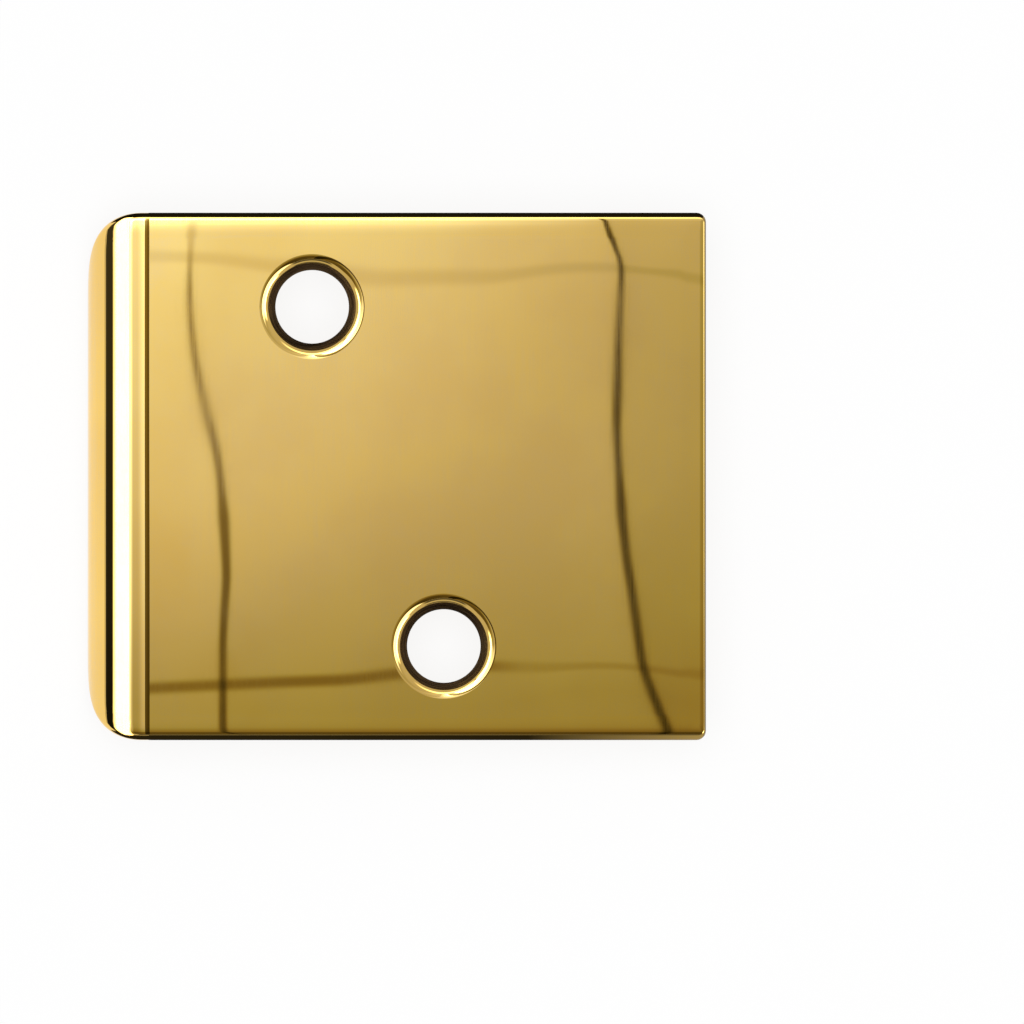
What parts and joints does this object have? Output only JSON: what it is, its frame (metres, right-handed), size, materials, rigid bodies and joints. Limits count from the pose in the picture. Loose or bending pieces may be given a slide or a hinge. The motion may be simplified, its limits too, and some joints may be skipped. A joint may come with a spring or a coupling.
{
  "type": "strike plate extender",
  "caption": "Flat polished brass plate with a lip curled back round the jamb edge and staggered countersunk screw holes, guiding a latch bolt to its strike.",
  "frame": {"origin": "midway between the two screw holes, on the back face that bears on the jamb", "axes": "+Z out of the front face, +Y up the plate, -X towards the curled lip"},
  "size_m": [0.0523, 0.0444, 0.0053],
  "materials": {
    "polished_brass": "bright polished and lacquered"
  },
  "bodies": {
    "root": {"extender_plate": "polished_brass"}
  },
  "joints": []
}
